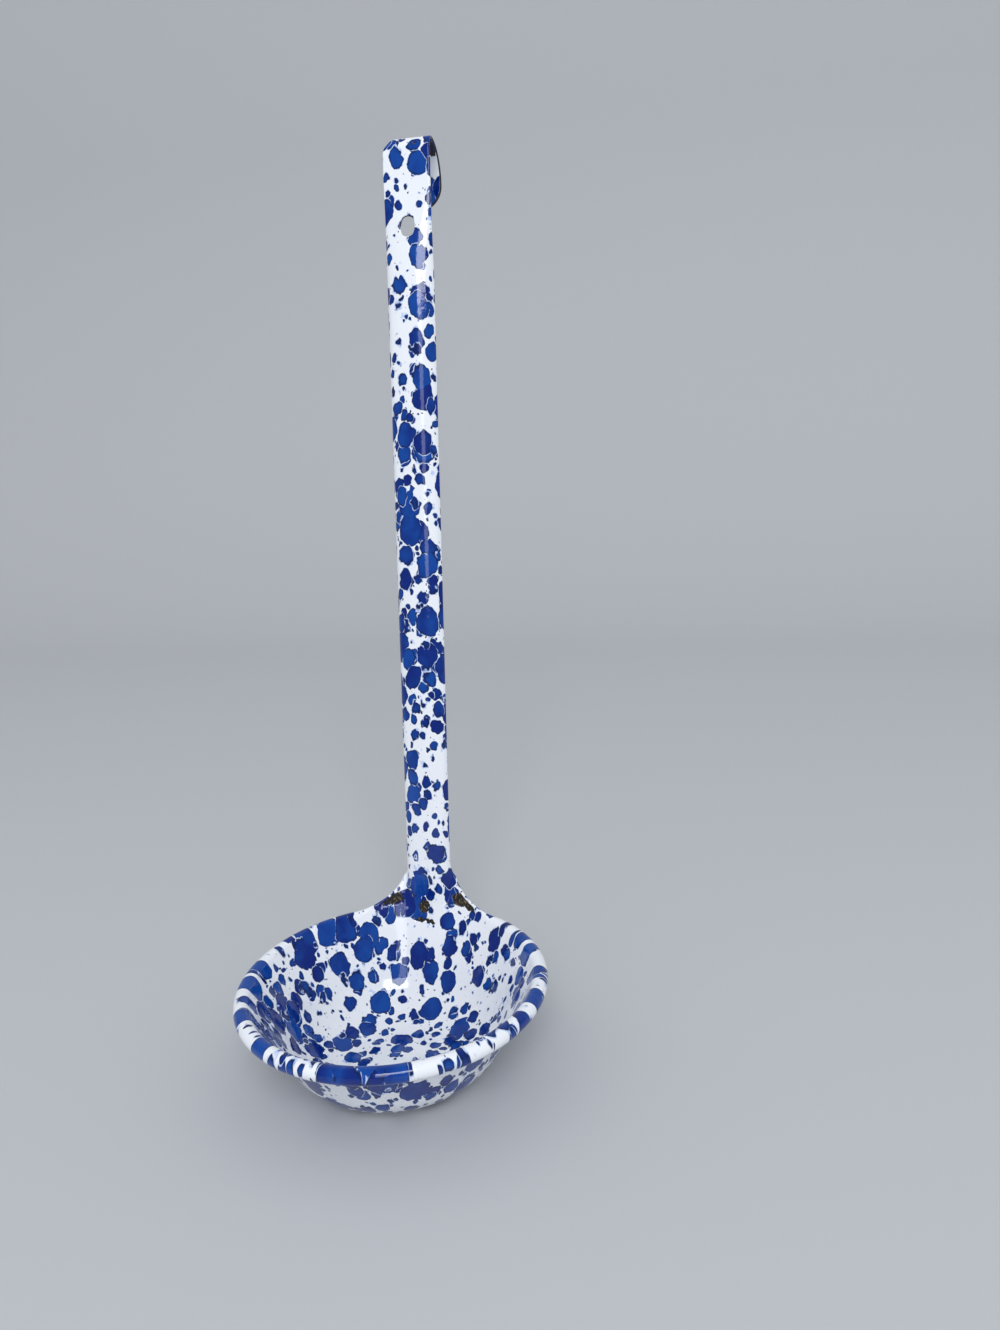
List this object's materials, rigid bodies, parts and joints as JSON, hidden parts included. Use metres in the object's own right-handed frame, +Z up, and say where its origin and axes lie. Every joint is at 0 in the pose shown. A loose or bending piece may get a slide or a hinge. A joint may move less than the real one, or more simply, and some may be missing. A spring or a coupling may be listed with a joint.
{
  "type": "soup ladle",
  "caption": "Enamelled sheet-steel soup ladle: a round bowl with a rolled rim, and a long crowned handle that ends in a hook with a hanging hole.",
  "frame": {"origin": "centre of the bowl's flat base, on the surface that the bowl stands on", "axes": "+Z up, +Y towards the handle at the back of the bowl, +X across the handle"},
  "size_m": [0.1, 0.1586, 0.3014],
  "materials": {
    "enamel": "glossy vitreous enamel, white with cobalt-blue splatter",
    "weld_steel": "bare fused steel, inside the lap"
  },
  "bodies": {
    "root": {"bowl": "enamel", "handle": "enamel", "spot_welds": "weld_steel"}
  },
  "joints": []
}
